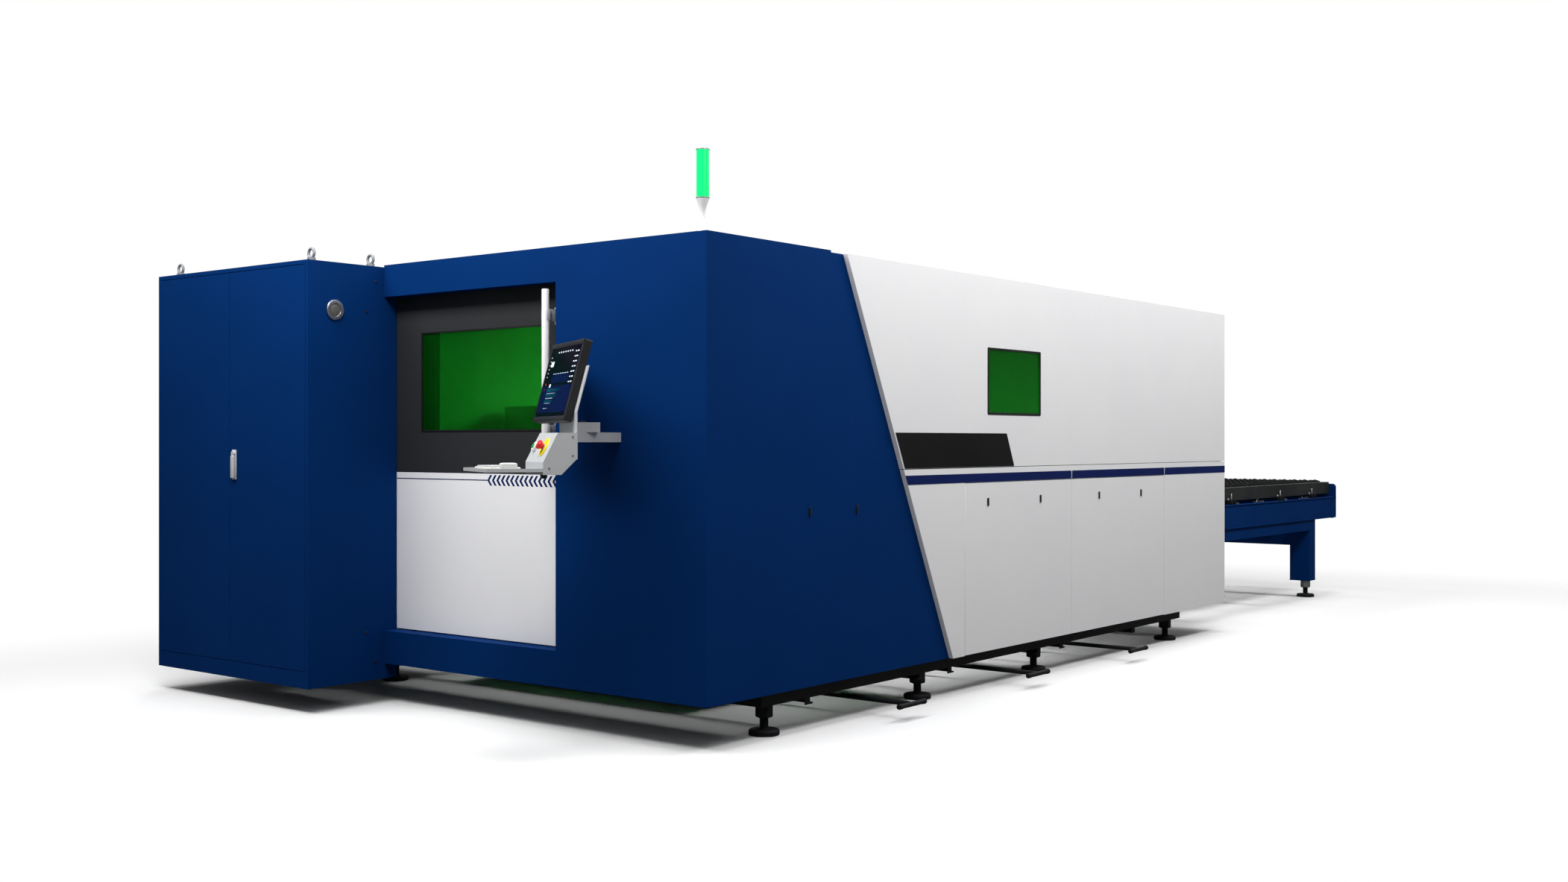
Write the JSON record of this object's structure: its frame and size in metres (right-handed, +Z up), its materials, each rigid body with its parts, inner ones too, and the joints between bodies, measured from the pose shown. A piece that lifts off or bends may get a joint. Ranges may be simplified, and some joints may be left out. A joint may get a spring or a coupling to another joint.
{
  "type": "fiber laser cutting machine",
  "caption": "Enclosed fiber laser cutting machine with a sliding front door, swivel console, electrical cabinet, scrap drawers and a two-level exchange table.",
  "frame": {"origin": "bottom centre of the box round the whole machine, on the floor", "axes": "+X to the operator's right, +Y from the operator's side to the exchange table, +Z up"},
  "size_m": [3.704, 9.5246, 2.582],
  "materials": {
    "blue_enamel": "satin deep blue enamel",
    "white_enamel": "smooth white enamel",
    "black_enamel": "satin black enamel",
    "dark_grey_enamel": "matt dark grey enamel",
    "console_enamel": "fine-textured light grey enamel",
    "bed_enamel": "satin graphite enamel",
    "machined_steel": "ground steel",
    "forged_steel": "zinc-plated forged steel",
    "scale_steel": "dark rolled steel with scorch marks",
    "cast_alloy": "satin anodised alloy",
    "brass_nozzle": "turned brass",
    "safety_glass": "laser-safe green glass",
    "lamp_glass": "lit green lamp",
    "lamp_plastic": "white plastic",
    "black_plastic": "fine-textured black plastic",
    "red_plastic": "red mushroom head",
    "green_plastic": "green cap",
    "zinc_sheet": "zinc-plated sheet",
    "duct_metal": "zinc-plated spigot"
  },
  "bodies": {
    "machine": {"bed_frame": "black_enamel", "enclosure_frame": "bed_enamel", "levelling_feet": "black_enamel", "gantry_rails": "machined_steel", "front_cover": "blue_enamel", "door_surround": "blue_enamel", "door_track": "machined_steel", "side_panel_upper": "white_enamel", "side_window": "safety_glass", "side_panel_lower": "white_enamel", "side_stripe": "blue_enamel", "side_plate": "black_enamel", "left_panels": "white_enamel", "left_bay_cover": "blue_enamel", "roof_panels": "white_enamel", "rear_wall": "white_enamel", "exhaust_duct": "duct_metal", "cabinet_shell": "blue_enamel", "cabinet_plate": "zinc_sheet", "cabinet_port": "cast_alloy", "eye_bolts": "forged_steel", "laser_source": "console_enamel", "table_frame": "blue_enamel", "table_end_plate": "blue_enamel", "table_rollers": "machined_steel", "tower_base": "lamp_plastic", "tower_lamp": "lamp_glass", "console_bracket": "console_enamel"},
    "front_door": {"door_panel": "dark_grey_enamel", "door_window": "safety_glass", "door_lower_panel": "white_enamel", "door_handle": "lamp_plastic"},
    "cabinet_left_leaf": {"cabinet_door_left": "blue_enamel"},
    "cabinet_right_leaf": {"cabinet_door_right": "blue_enamel"},
    "cabinet_lever": {"cabinet_handle": "cast_alloy"},
    "front_flap": {"access_door_front": "white_enamel"},
    "rear_flap": {"access_door_rear": "white_enamel"},
    "gantry": {"gantry_beam": "cast_alloy", "gantry_drives": "black_plastic"},
    "cross_carriage": {"carriage": "cast_alloy"},
    "head_slide": {"z_slide": "white_enamel", "cutting_head": "cast_alloy"},
    "upper_table": {"upper_pallet": "scale_steel"},
    "lower_table": {"lower_pallet": "scale_steel"},
    "gate": {"rear_door": "dark_grey_enamel"},
    "console": {"console_arm": "console_enamel", "control_box": "console_enamel", "monitor": "black_plastic", "keyboard_tray": "console_enamel"},
    "stop_button": {"estop_button": "red_plastic"},
    "run_button": {"start_button": "green_plastic"},
    "latch_1": {"access_latch_1": "black_plastic"},
    "latch_2": {"access_latch_2": "black_plastic"},
    "latch_3": {"access_latch_3": "black_plastic"},
    "latch_4": {"access_latch_4": "black_plastic"},
    "cover_turnlatch_1": {"cover_latch_1": "black_plastic"},
    "cover_turnlatch_2": {"cover_latch_2": "black_plastic"},
    "drawer_1": {"scrap_drawer_1": "black_enamel"},
    "drawer_2": {"scrap_drawer_2": "black_enamel"},
    "drawer_3": {"scrap_drawer_3": "black_enamel"}
  },
  "joints": [
    {"name": "front_door_slide", "type": "slide", "parent": "machine", "child": "front_door", "axis": [-1, 0, 0], "range_m": [0, 1.14]},
    {"name": "cabinet_left_hinge", "type": "hinge", "parent": "machine", "child": "cabinet_left_leaf", "pos_m": [-1.826, -4.47468, 1.2], "axis": [0, 0, -1], "range_deg": [0, 110]},
    {"name": "cabinet_right_hinge", "type": "hinge", "parent": "machine", "child": "cabinet_right_leaf", "pos_m": [-0.55, -4.47468, 1.2], "axis": [0, 0, 1], "range_deg": [0, 110]},
    {"name": "cabinet_lever_turn", "type": "hinge", "parent": "cabinet_right_leaf", "child": "cabinet_lever", "pos_m": [-1.143, -4.47767, 1.2035], "axis": [0, 1, 0], "range_deg": [0, 90]},
    {"name": "front_flap_hinge", "type": "hinge", "parent": "machine", "child": "front_flap", "pos_m": [1.647, -1.40467, 0.206], "axis": [0, 1, 0], "range_deg": [0, 80]},
    {"name": "rear_flap_hinge", "type": "hinge", "parent": "machine", "child": "rear_flap", "pos_m": [1.647, -0.17667, 0.206], "axis": [0, 1, 0], "range_deg": [0, 80]},
    {"name": "gantry_travel", "type": "slide", "parent": "machine", "child": "gantry", "axis": [0, 1, 0], "range_m": [0, 3.2]},
    {"name": "carriage_travel", "type": "slide", "parent": "gantry", "child": "cross_carriage", "axis": [1, 0, 0], "range_m": [-0.79, 0.79]},
    {"name": "head_travel", "type": "slide", "parent": "cross_carriage", "child": "head_slide", "axis": [0, 0, -1], "range_m": [0, 0.235]},
    {"name": "upper_table_travel", "type": "slide", "parent": "machine", "child": "upper_table", "axis": [0, 1, 0], "range_m": [-3.88, 0]},
    {"name": "lower_table_travel", "type": "slide", "parent": "machine", "child": "lower_table", "axis": [0, 1, 0], "range_m": [0, 3.88]},
    {"name": "gate_lift", "type": "slide", "parent": "machine", "child": "gate", "axis": [0, 0, 1], "range_m": [-0.412, 0]},
    {"name": "console_swivel", "type": "hinge", "parent": "machine", "child": "console", "pos_m": [1.089, -4.23268, 1.36], "axis": [0, 0, 1], "range_deg": [-10, 60]},
    {"name": "stop_press", "type": "slide", "parent": "console", "child": "stop_button", "axis": [0.4308, 0.7771, -0.4588], "range_m": [0, 0.006]},
    {"name": "run_press", "type": "slide", "parent": "console", "child": "run_button", "axis": [0.4308, 0.7771, -0.4588], "range_m": [0, 0.006], "stiffness_N_per_m": 400},
    {"name": "latch_1_turn", "type": "hinge", "parent": "front_flap", "child": "latch_1", "pos_m": [1.65, -1.76368, 0.998], "axis": [1, 0, 0], "range_deg": [0, 90]},
    {"name": "latch_2_turn", "type": "hinge", "parent": "front_flap", "child": "latch_2", "pos_m": [1.65, -1.18768, 0.998], "axis": [1, 0, 0], "range_deg": [0, 90]},
    {"name": "latch_3_turn", "type": "hinge", "parent": "rear_flap", "child": "latch_3", "pos_m": [1.65, -0.46468, 0.998], "axis": [1, 0, 0], "range_deg": [0, 90]},
    {"name": "latch_4_turn", "type": "hinge", "parent": "rear_flap", "child": "latch_4", "pos_m": [1.65, 0.11132, 0.998], "axis": [1, 0, 0], "range_deg": [0, 90]},
    {"name": "cover_latch_1_turn", "type": "hinge", "parent": "machine", "child": "cover_turnlatch_1", "pos_m": [1.625, -3.30768, 0.998], "axis": [1, 0, 0], "range_deg": [0, 90]},
    {"name": "cover_latch_2_turn", "type": "hinge", "parent": "machine", "child": "cover_turnlatch_2", "pos_m": [1.625, -2.93768, 0.998], "axis": [1, 0, 0], "range_deg": [0, 90]},
    {"name": "drawer_1_slide", "type": "slide", "parent": "machine", "child": "drawer_1", "axis": [1, 0, 0], "range_m": [0, 1.4]},
    {"name": "drawer_2_slide", "type": "slide", "parent": "machine", "child": "drawer_2", "axis": [1, 0, 0], "range_m": [0, 1.4]},
    {"name": "drawer_3_slide", "type": "slide", "parent": "machine", "child": "drawer_3", "axis": [1, 0, 0], "range_m": [0, 1.4]}
  ],
  "couplings": [
    {"joint": "lower_table_travel", "follows": "upper_table_travel", "ratio": -1}
  ]
}
